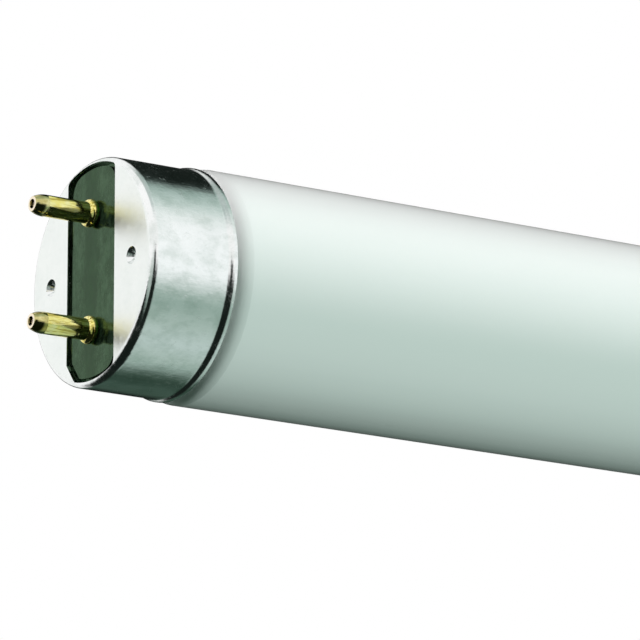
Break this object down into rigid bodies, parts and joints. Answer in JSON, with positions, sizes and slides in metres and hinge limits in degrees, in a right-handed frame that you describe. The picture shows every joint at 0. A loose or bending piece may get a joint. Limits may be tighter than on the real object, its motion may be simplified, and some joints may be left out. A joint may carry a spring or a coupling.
{
  "type": "fluorescent tube",
  "caption": "Straight fluorescent lamp: a long white-coated glass tube with an aluminium cap on each end, and brass contact pins that plug into tube holders.",
  "frame": {"origin": "the middle of the lamp, on its axis", "axes": "+X along the lamp, from the end in the picture to the far end; +Z along the line of the two pins; +Y across it, away from the camera"},
  "size_m": [0.604, 0.0254, 0.0254],
  "materials": {
    "coated_glass": "gloss",
    "cap_aluminium": "satin",
    "cap_insulator": "gloss",
    "pin_brass": "polished",
    "capping_cement": "matte",
    "lead_wire_metal": "satin"
  },
  "bodies": {
    "root": {"glass_tube": "coated_glass", "front_cap_shell": "cap_aluminium", "front_insulator": "cap_insulator", "front_cement_ring": "capping_cement", "front_upper_pin": "pin_brass", "front_upper_lead_wire": "lead_wire_metal", "front_lower_pin": "pin_brass", "front_lower_lead_wire": "lead_wire_metal", "rear_cap_shell": "cap_aluminium", "rear_insulator": "cap_insulator", "rear_cement_ring": "capping_cement", "rear_upper_pin": "pin_brass", "rear_upper_lead_wire": "lead_wire_metal", "rear_lower_pin": "pin_brass", "rear_lower_lead_wire": "lead_wire_metal"}
  },
  "joints": []
}
